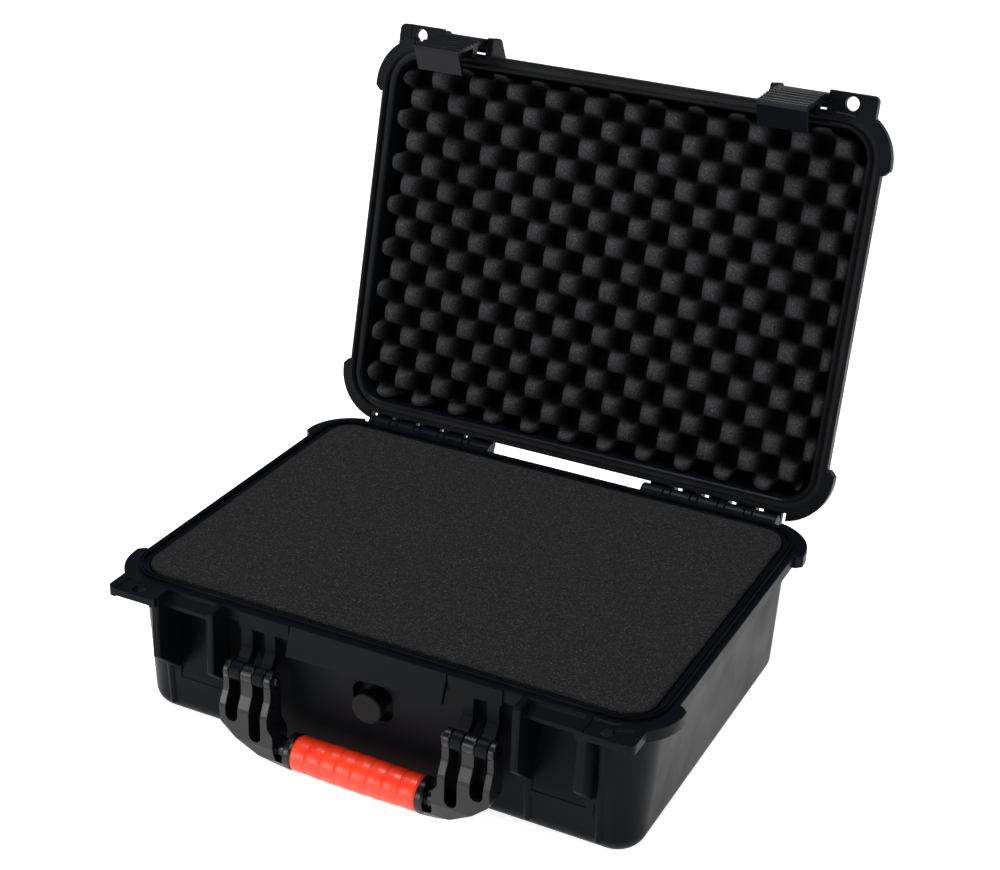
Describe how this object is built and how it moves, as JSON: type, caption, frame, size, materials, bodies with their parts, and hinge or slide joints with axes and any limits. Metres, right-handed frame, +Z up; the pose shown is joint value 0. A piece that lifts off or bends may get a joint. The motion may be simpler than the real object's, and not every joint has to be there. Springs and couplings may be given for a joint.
{
  "type": "hard equipment case",
  "caption": "Open hard plastic equipment case with foam lining, hinged lid, draw-down latches, folding front handle with a coloured grip and a pressure valve.",
  "frame": {"origin": "Centre of the base's flat underside.", "axes": "+X to the right, -Y to the front where the handle and latches are, +Z up. The lid stands open at the back."},
  "size_m": [0.406, 0.4509, 0.4052],
  "materials": {
    "shell": "moulded black plastic with a soft sheen",
    "foam": "open-cell charcoal foam",
    "lid_foam": "open-cell charcoal egg-crate foam",
    "valve": "moulded black plastic",
    "seal": "soft black rubber",
    "steel": "steel pin with a black oxide surface",
    "latch": "moulded black plastic, ridged",
    "handle": "moulded black plastic",
    "grip": "glossy orange-red sleeve",
    "knob": "moulded black plastic"
  },
  "bodies": {
    "base": {"base_shell": "shell", "foam_bottom": "foam", "foam_middle": "foam", "foam_top": "foam", "valve_body": "valve", "valve_seal": "seal", "valve_nut": "valve", "hinge_pin_left": "steel", "hinge_pin_right": "steel", "handle_pin_left": "steel", "handle_pin_right": "steel"},
    "lid": {"lid_shell": "shell", "lid_foam": "lid_foam", "lid_gasket": "seal", "latch_pin_left": "steel", "latch_pin_right": "steel"},
    "latch_left": {"latch_left": "latch"},
    "latch_right": {"latch_right": "latch"},
    "handle": {"handle_frame": "handle", "handle_grip": "grip"},
    "valve_knob": {"valve_knob": "knob"}
  },
  "joints": [
    {"name": "lid_hinge", "type": "hinge", "parent": "base", "child": "lid", "pos_m": [0, 0.152, 0.1035], "axis": [1, 0, 0], "range_deg": [0, 103.1]},
    {"name": "latch_left_pivot", "type": "hinge", "parent": "lid", "child": "latch_left", "pos_m": [-0.13265, 0.23566, 0.39461], "axis": [-1, 0, 0], "range_deg": [0, 105]},
    {"name": "latch_right_pivot", "type": "hinge", "parent": "lid", "child": "latch_right", "pos_m": [0.13265, 0.23566, 0.39461], "axis": [-1, 0, 0], "range_deg": [0, 105]},
    {"name": "handle_pivot", "type": "hinge", "parent": "base", "child": "handle", "pos_m": [0, -0.156, 0.0695], "axis": [-1, 0, 0], "range_deg": [0, 95]},
    {"name": "valve_turn", "type": "hinge", "parent": "base", "child": "valve_knob", "pos_m": [0, -0.143, 0.0635], "axis": [0, -1, 0], "range_deg": [0, 180]}
  ]
}
